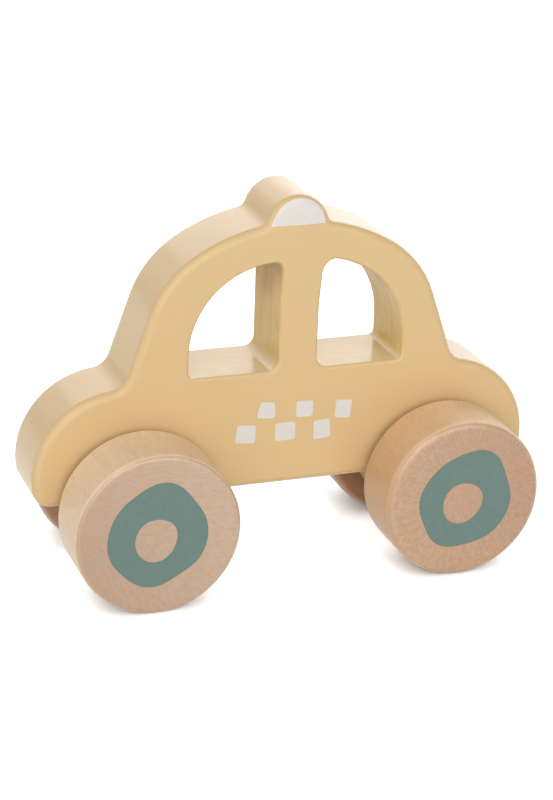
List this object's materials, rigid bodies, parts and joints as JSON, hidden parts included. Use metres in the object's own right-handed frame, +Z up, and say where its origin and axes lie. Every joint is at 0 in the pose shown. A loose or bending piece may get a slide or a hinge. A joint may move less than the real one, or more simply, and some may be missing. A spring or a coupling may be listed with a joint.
{
  "type": "toy taxi",
  "caption": "Push-along wooden toy taxi: a rounded slab body with arched see-through windows and a roof sign, on wooden wheels that turn with their dowel axles.",
  "frame": {"origin": "on the floor under the middle of the bounding box, between the wheels", "axes": "+X forward through the nose, +Y to the car's left side, +Z up"},
  "size_m": [0.141, 0.063, 0.1052],
  "materials": {
    "painted_wood": "satin pale yellow paint",
    "wheel_wood": "clear lacquered beech",
    "axle_wood": "bare beech dowel",
    "white_paint": "matt white printed paint",
    "teal_paint": "matt grey-green printed paint"
  },
  "bodies": {
    "body": {"body": "painted_wood"},
    "front_wheels": {"front_axle": "axle_wood", "front_left_wheel": "wheel_wood", "front_right_wheel": "wheel_wood"},
    "rear_wheels": {"rear_axle": "axle_wood", "rear_left_wheel": "wheel_wood", "rear_right_wheel": "wheel_wood"}
  },
  "joints": [
    {"name": "front_axle_spin", "type": "hinge", "parent": "body", "child": "front_wheels", "pos_m": [0.0419, 0, 0.0225], "axis": [0, 1, 0], "continuous": true},
    {"name": "rear_axle_spin", "type": "hinge", "parent": "body", "child": "rear_wheels", "pos_m": [-0.0443, 0, 0.0225], "axis": [0, 1, 0], "continuous": true}
  ]
}
